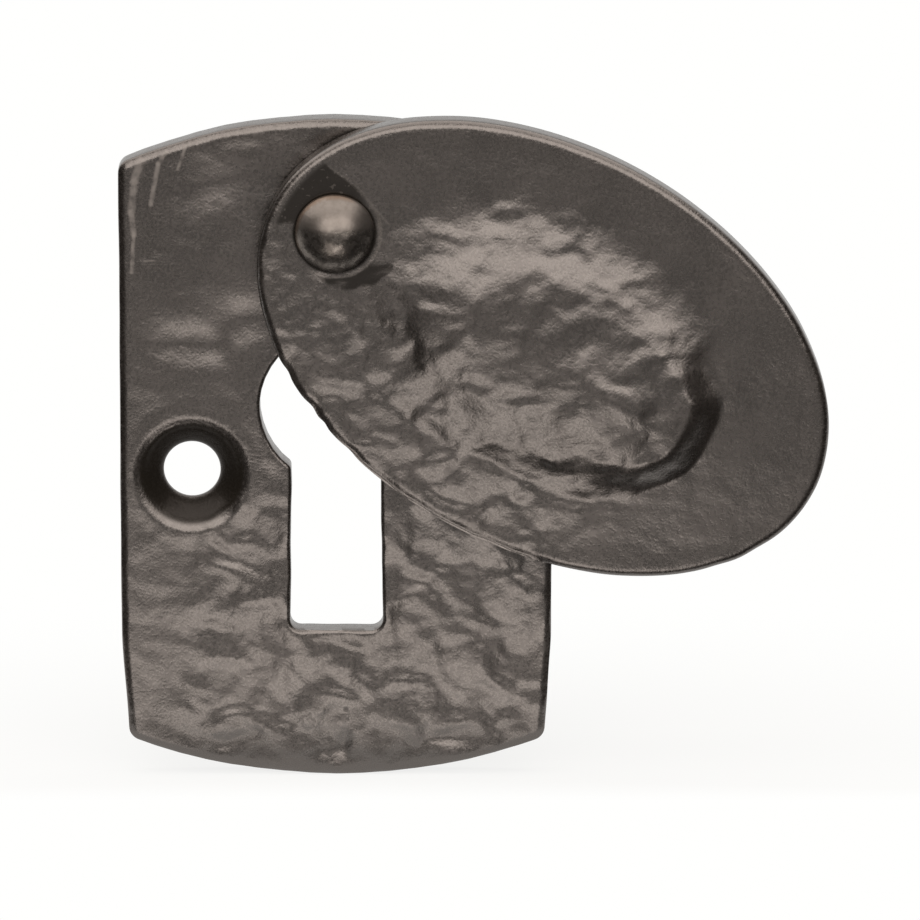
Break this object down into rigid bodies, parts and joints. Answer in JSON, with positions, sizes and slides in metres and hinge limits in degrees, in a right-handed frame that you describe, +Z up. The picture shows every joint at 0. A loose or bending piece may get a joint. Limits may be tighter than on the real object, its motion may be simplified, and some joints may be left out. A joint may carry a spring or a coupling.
{
  "type": "keyhole escutcheon",
  "caption": "Arched cast iron keyhole plate for a door or drawer, with countersunk screw holes and an oval domed cover that swings over the keyhole on a round-headed rivet.",
  "frame": {"origin": "midway between the two screw holes, on the plate's back face", "axes": "+Z up as fixed on a door, -Y out of the front towards the user, +X to the right seen from the front"},
  "size_m": [0.0622, 0.0082, 0.0598],
  "materials": {
    "black_iron": "satin",
    "rivet_steel": "satin"
  },
  "bodies": {
    "plate": {"backplate": "black_iron", "rivet": "rivet_steel"},
    "cover": {"cover": "black_iron"}
  },
  "joints": [
    {"name": "cover_swing", "type": "hinge", "parent": "plate", "child": "cover", "pos_m": [0, -0.0045, 0.0224], "axis": [0, 1, 0], "continuous": true}
  ]
}
